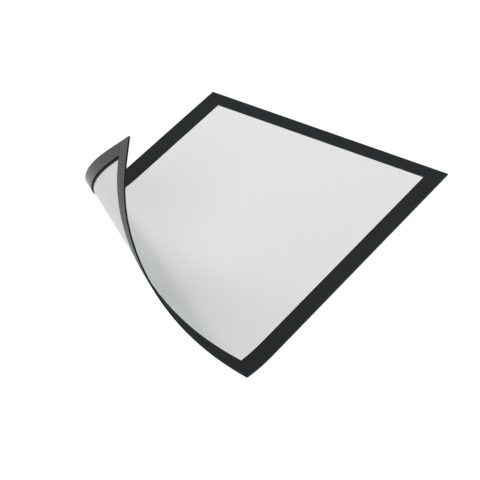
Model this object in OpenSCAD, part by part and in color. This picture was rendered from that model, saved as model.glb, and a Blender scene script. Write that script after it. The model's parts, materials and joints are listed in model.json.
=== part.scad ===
// Flexible magnetic picture frame panel with one corner curled over its face.
// The reverse lies on z = 0, the viewing side faces +Z, the short side runs along X.
// Sheet positions use u from the left edge and v down from the top edge, both in mm.

/* [Panel] */
// Width of the panel along its short side, mm
panel_w = 236; // [180:1:300]
// Height of the panel along its long side, mm
panel_h = 323; // [260:1:420]
// Width of the black border seen from the front, mm
border_w = 15.4; // [13.5:0.1:24]

/* [Layers] */
// Thickness of the milky window film, mm
film_t = 0.3; // [0.2:0.05:0.6]
// Thickness of the black border layer on the front of the film, mm
print_t = 0.1; // [0.05:0.05:0.3]
// Thickness of the adhesive tape under each magnet strip, mm
tape_t = 0.1; // [0.05:0.05:0.3]
// Thickness of the magnet strips, mm
strip_t = 1.0; // [0.5:0.1:2]
// Width of the magnet strips, mm
strip_w = 12.7; // [9:0.1:13]
// Gap at each butt joint between two strips, mm
strip_gap = 0.3; // [0.1:0.1:1]

/* [Curl] */
// Where the curl starts on the left edge, measured down from the top, mm
curl_start = 132; // [120:1:200]
// Where the first ruling meets the line of the bottom edge, mm
curl_reach = 305.5; // [290:0.5:320]
// How strongly the rulings swing round towards the tip
curl_fan = 1.48; // [1:0.01:1.8]
// Turn at each of the seven folds from the flat panel to the tip, degrees
fold_turns = [11.6, 22.1, 23.7, 21.2, 20.0, 16.9, 6.6];
// Clearance along each fold between neighbouring lengths, mm
fold_gap = 0.2; // [0.1:0.05:0.6]

/* [Hidden] */
folds = 7;
z_tape = strip_t;
z_film = strip_t + tape_t;
z_print = z_film + film_t;
z_fold = z_film + film_t / 2;
far = 60;
film_color = [0.85, 0.86, 0.86];
print_color = [0.09, 0.1, 0.1];
magnet_color = [0.3, 0.31, 0.31];
tape_color = [0.75, 0.72, 0.6];

// Position of fold k along the curl, 0 at its start and 1 at the corner tip
function fold_pos(k) = (k - 0.5) / (folds + 1);
// Where fold k crosses the left edge and the line of the bottom edge
function fold_v(k) = curl_start + (panel_h - curl_start) * fold_pos(k);
function fold_u(k) = curl_reach * pow(1 - fold_pos(k), curl_fan);
// The two ends of fold k in panel coordinates
function left_end(k) = [-panel_w / 2, panel_h / 2 - fold_v(k)];
function low_end(k) = [fold_u(k) - panel_w / 2, -panel_h / 2];
function along(k) = (low_end(k) - left_end(k)) / norm(low_end(k) - left_end(k));
// Unit normal of fold k in the sheet, pointing at the corner tip
function towards_tip(k) = [along(k)[1], -along(k)[0]];
function before(k) = -towards_tip(k) * fold_gap / 2;
function after(k) = towards_tip(k) * fold_gap / 2;

// Moves its children with the sheet beyond the first k folds
module carried(k) {
  if (k == 0) children();
  else carried(k - 1) turned(k) children();
}

// Turns its children about fold k, in the middle of the film
module turned(k) {
  translate([left_end(k)[0], left_end(k)[1], z_fold])
    rotate(a = -fold_turns[k - 1], v = [along(k)[0], along(k)[1], 0])
      translate([-left_end(k)[0], -left_end(k)[1], -z_fold])
        children();
}

// Tall prism over the flat part of the sheet, up to the first fold
module flat_region() {
  a = left_end(1) - along(1) * far + before(1);
  b = low_end(1) + along(1) * far + before(1);
  translate([0, 0, -1])
    linear_extrude(height = z_film + film_t + 2)
      polygon([
        a, b,
        [panel_w / 2 + 2 * far, -panel_h / 2 - far],
        [panel_w / 2 + 2 * far, panel_h / 2 + far],
        [-panel_w / 2 - 2 * far, panel_h / 2 + far]
      ]);
}

// Tall prism over the sheet between fold k and the next one, or the tip
module fold_region(k) {
  a = left_end(k) - along(k) * far + after(k);
  b = low_end(k) + along(k) * far + after(k);
  c = k < folds ? low_end(k + 1) + along(k + 1) * far + before(k + 1)
                : [-panel_w / 2 - far, -panel_h / 2 - far];
  d = k < folds ? left_end(k + 1) - along(k + 1) * far + before(k + 1) : a;
  translate([0, 0, -1])
    linear_extrude(height = z_film + film_t + 2)
      polygon(k < folds ? [a, b, c, d] : [a, b, c]);
}

// Rectangle of one layer between two sheet positions
module patch(u0, v0, u1, v1, z, t) {
  translate([u0 - panel_w / 2, panel_h / 2 - v1, z])
    cube([u1 - u0, v1 - v0, t]);
}

module film_layer() {
  patch(0, 0, panel_w, panel_h, z_film, film_t);
}

module border_layer() {
  difference() {
    patch(0, 0, panel_w, panel_h, z_print, print_t);
    patch(border_w, border_w, panel_w - border_w, panel_h - border_w, z_print - 1, print_t + 2);
  }
}

module left_border_layer() {
  patch(0, 0, border_w, panel_h - border_w, z_print, print_t);
}

// The bottom border with the end of the right border that meets it
module bottom_border_layer() {
  difference() {
    border_layer();
    patch(-1, -1, border_w, panel_h + 1, z_print - 1, print_t + 2);
  }
}

// The top and bottom strips run the full width; the side strips butt against them
module top_strip(z, t) {
  patch(0, 0, panel_w, strip_w, z, t);
}

module bottom_strip(z, t) {
  patch(0, panel_h - strip_w, panel_w, panel_h, z, t);
}

module left_strip(z, t) {
  patch(0, strip_w + strip_gap, strip_w, panel_h - strip_w - strip_gap, z, t);
}

module right_strip(z, t) {
  patch(panel_w - strip_w, strip_w + strip_gap, panel_w, panel_h - strip_w - strip_gap, z, t);
}

// Length of a layer on the flat part
module flat_length() {
  intersection() {
    children();
    flat_region();
  }
}

// Length of a layer that turns with the sheet after fold k
module curled_length(k) {
  carried(k)
    intersection() {
      children();
      fold_region(k);
    }
}

module window_film() {
  color(film_color) flat_length() film_layer();
}

module border_print() {
  color(print_color) flat_length() border_layer();
}

module magnet_top() {
  color(magnet_color) top_strip(0, strip_t);
}

module magnet_right() {
  color(magnet_color) flat_length() right_strip(0, strip_t);
}

module magnet_left() {
  color(magnet_color) flat_length() left_strip(0, strip_t);
}

module tape_top() {
  color(tape_color) top_strip(z_tape, tape_t);
}

module tape_right() {
  color(tape_color) flat_length() right_strip(z_tape, tape_t);
}

module tape_left() {
  color(tape_color) flat_length() left_strip(z_tape, tape_t);
}

module film_length(k) {
  color(film_color) curled_length(k) film_layer();
}

module print_left_length(k) {
  color(print_color) curled_length(k) left_border_layer();
}

module print_bottom_length(k) {
  color(print_color) curled_length(k) bottom_border_layer();
}

module print_corner_length(k) {
  color(print_color) curled_length(k) border_layer();
}

module magnet_right_length(k) {
  color(magnet_color) curled_length(k) right_strip(0, strip_t);
}

module tape_right_length(k) {
  color(tape_color) curled_length(k) right_strip(z_tape, tape_t);
}

module magnet_left_length(k) {
  color(magnet_color) curled_length(k) left_strip(0, strip_t);
}

module magnet_bottom_length(k) {
  color(magnet_color) curled_length(k) bottom_strip(0, strip_t);
}

module tape_left_length(k) {
  color(tape_color) curled_length(k) left_strip(z_tape, tape_t);
}

module tape_bottom_length(k) {
  color(tape_color) curled_length(k) bottom_strip(z_tape, tape_t);
}

window_film();
border_print();
magnet_top();
magnet_right();
magnet_left();
tape_top();
tape_right();
tape_left();
film_length(1);  // film_1
film_length(2);  // film_2
film_length(3);  // film_3
film_length(4);  // film_4
film_length(5);  // film_5
film_length(6);  // film_6
film_length(7);  // film_7
print_left_length(1);  // print_left_1
print_left_length(2);  // print_left_2
print_left_length(3);  // print_left_3
print_left_length(4);  // print_left_4
print_left_length(5);  // print_left_5
print_bottom_length(1);  // print_bottom_1
print_bottom_length(2);  // print_bottom_2
print_bottom_length(3);  // print_bottom_3
print_bottom_length(4);  // print_bottom_4
print_bottom_length(5);  // print_bottom_5
print_corner_length(6);  // print_corner_6
print_corner_length(7);  // print_tip_7
magnet_right_length(1);  // magnet_right_1
tape_right_length(1);  // tape_right_1
magnet_left_length(1);  // magnet_left_1
magnet_left_length(2);  // magnet_left_2
magnet_left_length(3);  // magnet_left_3
magnet_left_length(4);  // magnet_left_4
magnet_left_length(5);  // magnet_left_5
magnet_left_length(6);  // magnet_left_6
magnet_left_length(7);  // magnet_left_7
magnet_bottom_length(1);  // magnet_bottom_1
magnet_bottom_length(2);  // magnet_bottom_2
magnet_bottom_length(3);  // magnet_bottom_3
magnet_bottom_length(4);  // magnet_bottom_4
magnet_bottom_length(5);  // magnet_bottom_5
magnet_bottom_length(6);  // magnet_bottom_6
magnet_bottom_length(7);  // magnet_bottom_7
tape_left_length(1);  // tape_left_1
tape_left_length(2);  // tape_left_2
tape_left_length(3);  // tape_left_3
tape_left_length(4);  // tape_left_4
tape_left_length(5);  // tape_left_5
tape_left_length(6);  // tape_left_6
tape_left_length(7);  // tape_left_7
tape_bottom_length(1);  // tape_bottom_1
tape_bottom_length(2);  // tape_bottom_2
tape_bottom_length(3);  // tape_bottom_3
tape_bottom_length(4);  // tape_bottom_4
tape_bottom_length(5);  // tape_bottom_5
tape_bottom_length(6);  // tape_bottom_6
tape_bottom_length(7);  // tape_bottom_7
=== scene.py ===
import bpy
import json
import math
import numpy as np
from mathutils import Matrix, Vector


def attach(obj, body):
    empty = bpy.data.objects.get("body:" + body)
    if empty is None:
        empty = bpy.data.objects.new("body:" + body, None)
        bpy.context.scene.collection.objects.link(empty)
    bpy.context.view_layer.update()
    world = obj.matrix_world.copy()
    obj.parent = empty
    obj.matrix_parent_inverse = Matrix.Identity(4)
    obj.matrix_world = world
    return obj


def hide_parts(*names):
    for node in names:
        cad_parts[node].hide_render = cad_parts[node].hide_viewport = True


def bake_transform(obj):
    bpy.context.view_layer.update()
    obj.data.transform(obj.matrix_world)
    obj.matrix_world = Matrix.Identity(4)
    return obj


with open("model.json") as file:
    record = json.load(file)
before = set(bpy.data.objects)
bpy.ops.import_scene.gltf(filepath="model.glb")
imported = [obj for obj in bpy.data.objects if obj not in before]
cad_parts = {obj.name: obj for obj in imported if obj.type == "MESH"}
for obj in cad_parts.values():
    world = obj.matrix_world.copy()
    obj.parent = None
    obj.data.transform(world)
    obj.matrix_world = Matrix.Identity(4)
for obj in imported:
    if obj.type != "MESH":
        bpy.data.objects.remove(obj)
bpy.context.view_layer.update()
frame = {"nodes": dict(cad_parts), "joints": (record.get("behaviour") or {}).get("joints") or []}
print("frame loaded:", len(frame["nodes"]), "nodes")

# The panel lying flat, in metres. Heights are counted from the reverse of the magnet strips.
panel = {
    "width": 0.236,
    "height": 0.323,
    "borderWide": 0.0154,
    "stripWide": 0.0127,
    "stripHigh": 0.001,
    "stripEdge": 0.00012,  # how far the strips' cut edges are rounded
    "edgeSteps": 2,
    "tapeHigh": 0.0001,
    "filmHigh": 0.0003,
    "borderHigh": 0.0001,
    "buttGap": 0.0003,
}
tapeLow = panel["stripHigh"]
filmLow = tapeLow + panel["tapeHigh"]
borderLow = filmLow + panel["filmHigh"]
bendHeight = filmLow + panel["filmHigh"] / 2
halfWide, halfHigh = panel["width"] / 2, panel["height"] / 2

# how near, in metres, a point has to be to count as lying on something
near = {
    "ruling": 2e-7,
    "cut": 1e-6,
    "seam": 2e-6,
    "sheetEdge": 2e-5,
    "sameCorner": 1e-7,
}

# The curl: t runs from 0, where the sheet leaves the flat, to 1 at the corner tip
curl = {
    "start": 0.132,        # down the left edge
    "reach": 0.3055,       # along the line of the bottom edge
    "fan": 1.48,
    "rateAt": (0, 0.07, 0.15, 0.25, 0.4, 0.55, 0.7, 0.85, 1),
    "turnRate": (0.6, 1.8, 2.9, 3.5, 3.03, 2.82, 2.47, 0.18, 0),
    "rulings": 80,
    "lengths": 8,          # seven that bend between two bodies, and the tip
}


def ruling(t):
    # a point on the straight line that the sheet bends over at t, its direction, and the way to the tip
    down = curl["start"] + (panel["height"] - curl["start"]) * t
    across = curl["reach"] * (1 - t) ** curl["fan"]
    left = Vector((-halfWide, halfHigh - down, bendHeight))
    low = Vector((across - halfWide, -halfHigh, bendHeight))
    along = (low - left).normalized()
    return left, along, Vector((along.y, -along.x, 0))


def pick(*objects):
    if bpy.context.mode != "OBJECT":
        bpy.ops.object.mode_set(mode="OBJECT")
    bpy.ops.object.select_all(action="DESELECT")
    for each in objects:
        each.select_set(True)
    bpy.context.view_layer.objects.active = objects[-1]


def edit(*objects):
    pick(*objects)
    bpy.ops.object.mode_set(mode="EDIT")
    bpy.ops.mesh.select_all(action="SELECT")


def done():
    bpy.ops.object.mode_set(mode="OBJECT")


def slab(name, left, top, right, bottom, low, high, rounded=0):
    # left and right are counted from the left edge, top and bottom down from the top edge
    centre = ((left + right) / 2 - halfWide, halfHigh - (top + bottom) / 2, (low + high) / 2)
    bpy.ops.mesh.primitive_cube_add(size=1, location=centre, scale=(right - left, bottom - top, high - low))
    piece = bpy.context.object
    piece.name = piece.data.name = name
    pick(piece)
    bpy.ops.object.transform_apply(location=True, rotation=True, scale=True)
    if rounded:
        edit(piece)
        bpy.ops.mesh.bevel(offset=rounded, segments=panel["edgeSteps"], affect="EDGES")
        done()
    return piece


def borderRing():
    bpy.ops.mesh.primitive_plane_add(size=1, location=(0, 0, borderLow))
    piece = bpy.context.object
    piece.name = piece.data.name = "border"
    piece.scale = (panel["width"], panel["height"], 1)
    pick(piece)
    bpy.ops.object.transform_apply(location=True, rotation=True, scale=True)
    edit(piece)
    bpy.ops.mesh.inset(thickness=panel["borderWide"], depth=0)
    bpy.ops.mesh.delete(type="FACE")
    done()
    wall = piece.modifiers.new("wall", "SOLIDIFY")
    wall.thickness, wall.offset, wall.use_even_offset = panel["borderHigh"], 1, True
    bpy.ops.object.modifier_apply(modifier=wall.name)
    return piece


def reachOf(piece, t):
    # least and greatest distance of the piece's points beyond the ruling at t
    left, along, tipward = ruling(t)
    spots = np.array([v.co for v in piece.data.vertices])
    beyond = (spots - np.array(left)) @ np.array(tipward)
    return beyond.min(), beyond.max()


def cutAway(piece, t, tipSide):
    # cuts a piece at the ruling at t and drops one side of it, closing the cut
    left, along, tipward = ruling(t)
    edit(piece)
    bpy.ops.mesh.bisect(
        plane_co=left, plane_no=tipward, use_fill=True,
        clear_inner=not tipSide, clear_outer=tipSide, threshold=near["sameCorner"])
    done()


def lengthsOf(piece):
    # cuts a flat piece where one body hands it on to the next: number 0 is the part that stays flat
    found, stem = {}, piece.name
    for number in range(curl["lengths"] + 1):
        if number == curl["lengths"]:
            found[number] = piece
            break
        t = number / curl["lengths"]
        least, most = reachOf(piece, t)
        if most < near["cut"]:
            found[number] = piece
            break
        if least > -near["cut"]:
            continue
        pick(piece)
        bpy.ops.object.duplicate()
        tipPart = bpy.context.object
        cutAway(piece, t, True)
        cutAway(tipPart, t, False)
        found[number], piece = piece, tipPart
    for number, each in found.items():
        each.name = each.data.name = stem + ("Flat" if number == 0 else "Curl%d" % number)
    return found


def scoreRulings(piece, number):
    # lines across a length at each ruling that it bends over
    count = curl["rulings"] // curl["lengths"]
    for index in range(count * (number - 1), count * number):
        left, along, tipward = ruling((index + 0.5) / curl["rulings"])
        edit(piece)
        bpy.ops.mesh.bisect(plane_co=left, plane_no=tipward, use_fill=False, threshold=near["sameCorner"])
        done()


def rememberPlace(piece):
    # keeps where each point lay on the flat sheet, for the materials
    spots = np.array([v.co for v in piece.data.vertices], np.float32)
    kept = piece.data.attributes.new("sheetPlace", "FLOAT_VECTOR", "POINT")
    kept.data.foreach_set("vector", spots.ravel())
    return spots


flat = {
    "film": slab("film", 0, 0, panel["width"], panel["height"], filmLow, borderLow),
    "border": borderRing(),
}
width, height, wide, gap = panel["width"], panel["height"], panel["stripWide"], panel["buttGap"]
strips = {
    "Top": (0, 0, width, wide),
    "Bottom": (0, height - wide, width, height),
    "Left": (0, wide + gap, wide, height - wide - gap),
    "Right": (width - wide, wide + gap, width, height - wide - gap),
}
for side, area in strips.items():
    flat["magnet" + side] = slab("magnet" + side, *area, 0, tapeLow, panel["stripEdge"])
    flat["tape" + side] = slab("tape" + side, *area, tapeLow, filmLow)
print("flat panel made:", len(flat), "pieces")

lengths = {name: lengthsOf(piece) for name, piece in flat.items()}
bending = {}
for name, found in lengths.items():
    for number, piece in found.items():
        if number == 0:
            rememberPlace(piece)
            continue
        scoreRulings(piece, number)
        group = piece.vertex_groups.new(name=piece.name)
        group.add(range(len(piece.data.vertices)), 1, "REPLACE")
        bending[piece.name] = (name, number)
print("cut into lengths:", sum(len(found) for found in lengths.values()))

# All the curled lengths are folded together, one small turn at each ruling, from the tip inwards
pick(*[lengths[name][number] for name, number in bending.values()])
bpy.ops.object.join()
curled = bpy.context.object
places = rememberPlace(curled)
cursor = bpy.context.scene.cursor
for index in reversed(range(curl["rulings"])):
    t = (index + 0.5) / curl["rulings"]
    left, along, tipward = ruling(t)
    turn = float(np.interp(t, curl["rateAt"], curl["turnRate"])) / curl["rulings"]
    beyond = (places - np.array(left)) @ np.array(tipward)
    cursor.location = left
    cursor.rotation_euler = (0, 0, math.atan2(along.y, along.x))
    for chosen in (beyond > -near["ruling"], beyond > near["ruling"]):  # a point on the ruling turns half
        curled.data.polygons.foreach_set("select", np.zeros(len(curled.data.polygons), bool))
        curled.data.edges.foreach_set("select", np.zeros(len(curled.data.edges), bool))
        curled.data.vertices.foreach_set("select", chosen)
        bpy.ops.object.mode_set(mode="EDIT")
        bpy.ops.transform.rotate(value=turn / 2, orient_axis="X", orient_type="CURSOR", center_override=left)
        done()
cursor.location, cursor.rotation_euler = (0, 0, 0), (0, 0, 0)

curled.name = "curled"
*others, lastName = bending
for pieceName in others:
    pick(curled)
    bpy.ops.object.mode_set(mode="EDIT")
    bpy.ops.mesh.select_all(action="DESELECT")
    curled.vertex_groups.active = curled.vertex_groups[pieceName]
    bpy.ops.object.vertex_group_select()
    bpy.ops.mesh.separate(type="SELECTED")
    done()
    name, number = bending[pieceName]
    lengths[name][number] = [each for each in bpy.context.selected_objects if each != curled][0]
lengths[bending[lastName][0]][bending[lastName][1]] = curled
for pieceName, (name, number) in bending.items():
    piece = lengths[name][number]
    piece.name = piece.data.name = pieceName
    piece.vertex_groups.clear()
print("corner curled:", len(bending), "lengths")


class Wire:
    # wraps one socket of a material: sums on it add Math nodes, and node() adds any other node
    def __init__(self, tree, socket=None):
        self.tree, self.socket = tree, socket

    def node(self, kind, settings=None, values=None, output=0):
        made = self.tree.nodes.new(kind)
        for name, setting in (settings or {}).items():
            setattr(made, name, setting)
        for name, value in (values or {}).items():
            if isinstance(value, Wire):
                self.tree.links.new(value.socket, made.inputs[name])
            else:
                made.inputs[name].default_value = value
        return Wire(self.tree, made.outputs[output] if len(made.outputs) else None)

    def math(self, operation, first, second=0.0):
        return self.node("ShaderNodeMath", {"operation": operation}, {0: first, 1: second})

    def __add__(self, other):
        return self.math("ADD", self, other)

    def __sub__(self, other):
        return self.math("SUBTRACT", self, other)

    def __rsub__(self, other):
        return self.math("SUBTRACT", other, self)

    def __mul__(self, other):
        return self.math("MULTIPLY", self, other)

    def __gt__(self, other):
        return self.math("GREATER_THAN", self, other)

    def __lt__(self, other):
        return self.math("LESS_THAN", self, other)

    __radd__, __rmul__ = __add__, __mul__

    def either(self, other):
        return self.math("MAXIMUM", self, other)

    def size(self):
        return self.math("ABSOLUTE", self)

    def mixed(self, first, second):
        # first colour where this value is 0, second where it is 1
        values = {0: self, 6: first, 7: second}
        return self.node("ShaderNodeMix", {"data_type": "RGBA"}, values, 2)

    def noise(self, place, waves, detail=2, roughness=0.5):
        # noise with so many waves in each metre, either one number or one each for x, y and z
        scale = waves if isinstance(waves, tuple) else (waves, waves, waves)
        scaled = self.node("ShaderNodeMapping", {}, {"Vector": place, "Scale": scale})
        values = {"Vector": scaled, "Scale": 1, "Detail": detail, "Roughness": roughness}
        return self.node("ShaderNodeTexNoise", {}, values)


def newFinish(name):
    # a new material, and where each spot of it lay on the flat sheet
    finish = bpy.data.materials.new(name)
    finish.use_nodes = True
    finish.node_tree.nodes.clear()
    start = Wire(finish.node_tree)
    place = start.node("ShaderNodeAttribute", {"attribute_name": "sheetPlace"}, output=1)
    parts = {"start": start, "place": place}
    for number, axis in enumerate("xyz"):
        parts[axis] = start.node("ShaderNodeSeparateXYZ", {}, {0: place}, number)
    return finish, parts


def closeFinish(start, look, colour, uneven, relief, skin=None):
    # uneven varies the roughness, relief is the height of the bumps, and skin is a clear coat on top
    bump = {"Strength": look["bump"], "Distance": look["bumpDepth"], "Height": relief}
    values = {
        "Base Color": colour,
        "Roughness": uneven * look["roughnessSpread"] + (look["roughness"] - look["roughnessSpread"] / 2),
        "Normal": start.node("ShaderNodeBump", {}, bump),
        "Specular IOR Level": look["gloss"],
    }
    if skin:
        values["Coat Weight"], values["Coat Roughness"] = skin
    surface = start.node("ShaderNodeBsdfPrincipled", {}, values)
    start.node("ShaderNodeOutputMaterial", {}, {"Surface": surface})


def atSheetEdge(at):
    # 1 on the outer cut edge of the whole sheet
    besideEdge = at["x"].size() > halfWide - near["sheetEdge"]
    return besideEdge.either(at["y"].size() > halfHigh - near["sheetEdge"])


film = {
    "colour": (0.775, 0.79, 0.785, 1),
    "cloudy": (0.745, 0.765, 0.76, 1),
    "overBorder": (0.016, 0.023, 0.022, 1),   # the black border seen through the film from behind
    "cutEdge": (0.012, 0.013, 0.013, 1),
    "cloudWaves": 22,
    "speckWaves": 2600,
    "cloudShare": 0.6,
    "roughness": 0.5,
    "roughnessSpread": 0.08,
    "bump": 0.25,
    "bumpDepth": 2e-5,
    "gloss": 0.15,
    "sheen": 0.8,          # a satin skin, which shows the back lamp and the white room
    "sheenRoughness": 0.25,
}


def filmFinish():
    finish, at = newFinish("milkyFilm")
    start, place = at["start"], at["place"]
    cloud = start.noise(place, film["cloudWaves"])
    speck = start.noise(place, film["speckWaves"], 1)
    windowWide, windowHigh = halfWide - panel["borderWide"], halfHigh - panel["borderWide"]
    inside = (at["x"].size() < windowWide) * (at["y"].size() < windowHigh)
    overBorder = (1 - inside) * (at["z"] < bendHeight)
    mottled = cloud * film["cloudShare"] + speck * (1 - film["cloudShare"])
    colour = mottled.mixed(film["colour"], film["cloudy"])
    colour = overBorder.mixed(colour, film["overBorder"])
    colour = atSheetEdge(at).mixed(colour, film["cutEdge"])
    skin = ((1 - overBorder) * film["sheen"], film["sheenRoughness"])   # none over the border
    closeFinish(start, film, colour, speck, speck, skin)
    return finish


border = {
    "colour": (0.0205, 0.0245, 0.0255, 1),
    "faded": (0.0265, 0.0305, 0.031, 1),
    "grainWaves": 1900,
    "cloudWaves": 40,
    "roughness": 0.7,
    "roughnessSpread": 0.1,
    "bump": 0.35,
    "bumpDepth": 3e-5,
    "gloss": 0.02,
}


def borderFinish():
    finish, at = newFinish("borderPrint")
    start, place = at["start"], at["place"]
    grain = start.noise(place, border["grainWaves"])
    cloud = start.noise(place, border["cloudWaves"])
    colour = ((grain + cloud) * 0.5).mixed(border["colour"], border["faded"])
    closeFinish(start, border, colour, cloud, grain)
    return finish


magnet = {
    "outerEdge": (0.011, 0.0125, 0.013, 1),
    # the inner cut edges are painted darker than the outer ones, as painted shade on the strips' inner walls
    "innerEdge": (0.003, 0.0035, 0.0035, 1),
    "along": 30,            # waves in a metre of the streaks, along the strip and across it
    "crosswise": 1400,
    "grainWaves": 1500,
    "streakShare": 0.7,
    "roughness": 0.6,
    "roughnessSpread": 0.1,
    "bump": 0.4,
    "bumpDepth": 4e-5,
    "gloss": 0.02,
    "skinDepth": panel["stripEdge"] * 1.2,   # the flat faces have a smooth rolled skin, the cut edges none
}
# one strip material in two copies: the top and bottom strips' colours are painted lighter and the left and
# right strips' darker, as painted light and shade; their skins differ too
rolledSkinLitAndShaded = {
    "across": {                              # top and bottom strips, colours painted lighter: painted light
        "colour": (0.034, 0.038, 0.04, 1),
        "streak": (0.054, 0.059, 0.061, 1),
        "skin": 0.56,
        "skinRoughness": 0.33,
    },
    "down": {                                # left and right strips, colours painted darker: painted shade
        "colour": (0.004, 0.006, 0.007, 1),
        "streak": (0.009, 0.012, 0.013, 1),
        "skin": 0.66,
        "skinRoughness": 0.12,
    },
}


def magnetFinish(name, way):
    finish, at = newFinish(name)
    start, place, rolled = at["start"], at["place"], rolledSkinLitAndShaded[way]
    along, crosswise = magnet["along"], magnet["crosswise"]
    waves = (along, crosswise, crosswise) if way == "across" else (crosswise, along, crosswise)
    streak = start.noise(place, waves, 3, 0.6)
    grain = start.noise(place, magnet["grainWaves"])
    onSkin = at["z"] < magnet["skinDepth"]
    # inner cut edges take the painted shade colour, outer cut edges the strip's own dark colour
    edge = atSheetEdge(at).mixed(magnet["innerEdge"], magnet["outerEdge"])
    colour = onSkin.mixed(edge, streak.mixed(rolled["colour"], rolled["streak"]))
    relief = streak * magnet["streakShare"] + grain * (1 - magnet["streakShare"])
    closeFinish(start, magnet, colour, grain, relief, (onSkin * rolled["skin"], rolled["skinRoughness"]))
    return finish


tape = {
    "colour": (0.03, 0.03, 0.03, 1),
    "speck": (0.045, 0.045, 0.042, 1),
    "speckWaves": 1200,
    "roughness": 0.5,
    "roughnessSpread": 0.1,
    "bump": 0.2,
    "bumpDepth": 2e-5,
    "gloss": 0.4,
}


def tapeFinish():
    finish, at = newFinish("adhesiveTape")
    speck = at["start"].noise(at["place"], tape["speckWaves"])
    closeFinish(at["start"], tape, speck.mixed(tape["colour"], tape["speck"]), speck, speck)
    return finish


finishes = {
    "film": filmFinish(),
    "border": borderFinish(),
    "magnetAcross": magnetFinish("magnetAcross", "across"),
    "magnetDown": magnetFinish("magnetDown", "down"),
    "tape": tapeFinish(),
}
print("finishes made:", len(finishes))


lastFold = curl["lengths"] - 1


def nodesFor(name, number):
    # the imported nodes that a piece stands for
    last = min(number, lastFold)
    if name == "film":
        return ["film_%d" % last if number else "window_film"]
    if name == "border":
        whole = {0: "border_print", 6: "print_corner_6", 7: "print_tip_7"}
        if last in whole:
            return [whole[last]]
        return ["print_left_%d" % last, "print_bottom_%d" % last]
    kind = "magnet" if name.startswith("magnet") else "tape"
    side = name[len(kind):].lower()
    if number == 0:
        return ["%s_%s" % (kind, side)]
    return ["%s_%s_%d" % (kind, side, 1 if side == "right" else last)]


def bendLine(number):
    # start and end of the bend in one length, so that it meets its neighbours exactly at its cuts
    nearSide, farSide = [], []
    for found in lengths.values():
        if number in found:
            mesh = found[number].data
            flatSpots = np.zeros(len(mesh.vertices) * 3, np.float32)
            mesh.attributes["sheetPlace"].data.foreach_get("vector", flatSpots)
            flatSpots = flatSpots.reshape(-1, 3)
            spots = np.array([v.co for v in mesh.vertices])
            for cut, kept in ((number - 1, nearSide), (number, farSide)):
                left, along, tipward = ruling(cut / curl["lengths"])
                beyond = (flatSpots - np.array(left)) @ np.array(tipward)
                kept.append(spots[np.abs(beyond) < near["seam"]])
    nearSide, farSide = np.concatenate(nearSide), np.concatenate(farSide)
    axis = np.array(frame["joints"][number - 1]["axis"])
    first = nearSide.mean(0)
    way = farSide.mean(0) - first
    way -= axis * (way @ axis)
    way /= np.linalg.norm(way)
    start = first + way * ((nearSide - first) @ way).max()
    end = first + way * ((farSide - first) @ way).min()
    print("length", number, "bends over", round(float((end - start) @ way) * 1000, 1), "mm")
    return start, end


folds = range(1, lastFold + 1)
bodies = ["panel"] + ["curl_%d" % number for number in folds]
bends = {number: bendLine(number) for number in folds}
smoothAngle = math.radians(15)
for name, found in lengths.items():
    kind = "magnet" if name.startswith("magnet") else "tape" if name.startswith("tape") else name
    finish = kind
    if kind == "magnet":
        # the painted lighter copy goes on the top and bottom strips, the painted darker copy on the left and
        # right
        finish = "magnetAcross" if name.endswith(("Top", "Bottom")) else "magnetDown"
    for number, piece in found.items():
        pick(piece)
        bpy.ops.object.shade_smooth_by_angle(angle=smoothAngle)
        piece.data.materials.clear()
        piece.data.materials.append(finishes[finish])
        if number in bends:
            bodies[number - 1]
            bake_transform(piece)
        else:
            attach(piece, bodies[min(number, lastFold)])
        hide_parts(*nodesFor(name, number))

photoView = {
    "azimuth": 32.008,
    "elevation": 36.927,
    "roll": -0.125,
    "distance": 2.368,
    "focal": 2881.0,       # in pixels of a frame 480 wide
    "frame": 480,
    "target": (0.01742, -0.01046, 0.00125),
    "sensor": 36,
    "clip": (0.1, 20),
}
azimuth, elevation, roll = (math.radians(photoView[key]) for key in ("azimuth", "elevation", "roll"))
right = Vector((math.cos(azimuth), math.sin(azimuth), 0))
forward = Vector((-math.sin(azimuth), math.cos(azimuth), 0))
back = Vector((0, 0, math.sin(elevation))) - forward * math.cos(elevation)
up = back.cross(right)
rolledRight = right * math.cos(roll) + up * math.sin(roll)
rolledUp = up * math.cos(roll) - right * math.sin(roll)
axes = Matrix((rolledRight, rolledUp, back)).transposed()
spot = Vector(photoView["target"]) + back * photoView["distance"]
bpy.ops.object.camera_add(location=spot, rotation=axes.to_euler())
camera = bpy.context.object
camera.data.sensor_width = photoView["sensor"]
camera.data.lens = photoView["focal"] * photoView["sensor"] / photoView["frame"]
camera.data.clip_start, camera.data.clip_end = photoView["clip"]
bpy.context.scene.camera = camera

# places are in metres, powers in watts, and only the back lamp shows in the sheet's sheen
lamps = {
    "left": {"at": (-1.5, 0.2, 1.2), "wide": 1.2, "power": 19.8, "colour": (1, 0.966, 0.933)},
    "front": {"at": (0.3, -1.7, 1.2), "wide": 1.0, "power": 13, "colour": (1, 0.905, 0.898)},
    "right": {"at": (0.35, 0.35, 0.7), "wide": 0.5, "power": 1.6, "colour": (1, 0.975, 0.932)},
    "back": {"at": (-0.85, 1.35, 1.2), "wide": 1.6, "power": 11.9, "colour": (1, 0.925, 0.895)},
}
for name, lamp in lamps.items():
    turn = Vector(lamp["at"]).to_track_quat("Z", "Y").to_euler()
    bpy.ops.object.light_add(type="AREA", location=lamp["at"], rotation=turn)
    light = bpy.context.object
    light.name = name
    light.data.size, light.data.energy, light.data.color = lamp["wide"], lamp["power"], lamp["colour"]
    light.visible_glossy = name == "back"

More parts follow.
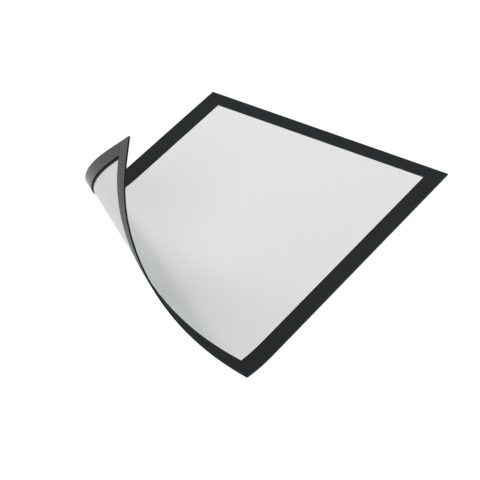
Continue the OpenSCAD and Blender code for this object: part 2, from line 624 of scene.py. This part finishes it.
backdrop = {
    "worldColour": (0.05, 0.1, 0.125, 1),   # the cool light of the room, beside the warmer lamps
    "floorColour": (0.8, 0.8, 0.8, 1),
    "floorWide": 12,
    "floorDepth": 0.0002,                     # below the strips
    "whiteShare": 0.92,
    "whiteLevel": 1.06,
}


def seenDirectly(start):
    # 1 on a ray from the camera, straight or by way of gloss or glass
    rays = ("Is Camera Ray", "Is Glossy Ray", "Is Transmission Ray")
    straight, glossy, through = (start.node("ShaderNodeLightPath", {}, {}, ray) for ray in rays)
    return straight.either(glossy).either(through)


world = bpy.data.worlds.new("studio")
world.use_nodes = True
world.node_tree.nodes.clear()
start = Wire(world.node_tree)
skyColour = seenDirectly(start).mixed(backdrop["worldColour"], (1, 1, 1, 1))
sky = start.node("ShaderNodeBackground", {}, {"Color": skyColour, "Strength": 1})
start.node("ShaderNodeOutputWorld", {}, {"Surface": sky})
bpy.context.scene.world = world

bpy.ops.object.select_all(action="DESELECT")
bpy.ops.mesh.primitive_plane_add(size=backdrop["floorWide"], location=(0, 0, -backdrop["floorDepth"]))
floor = bpy.context.object
floor.name = floor.data.name = "floor"
pick(floor)
bpy.ops.object.transform_apply(location=True, rotation=True, scale=True)
floorFinish = bpy.data.materials.new("paleFloor")
floorFinish.use_nodes = True
floorFinish.node_tree.nodes.clear()
start = Wire(floorFinish.node_tree)
lit = start.node("ShaderNodeBsdfDiffuse", {}, {"Color": backdrop["floorColour"]})
white = start.node("ShaderNodeEmission", {}, {"Strength": backdrop["whiteLevel"]})
share = seenDirectly(start) * backdrop["whiteShare"]
surface = start.node("ShaderNodeMixShader", {}, {0: share, 1: lit, 2: white})
clear = start.node("ShaderNodeBsdfTransparent")
behind = start.node("ShaderNodeNewGeometry", {}, {}, "Backfacing")
surface = start.node("ShaderNodeMixShader", {}, {0: behind, 1: surface, 2: clear})
start.node("ShaderNodeOutputMaterial", {}, {"Surface": surface})
floor.data.materials.append(floorFinish)
bpy.context.scene.view_settings.view_transform = "Standard"
print("camera, lamps and floor set")
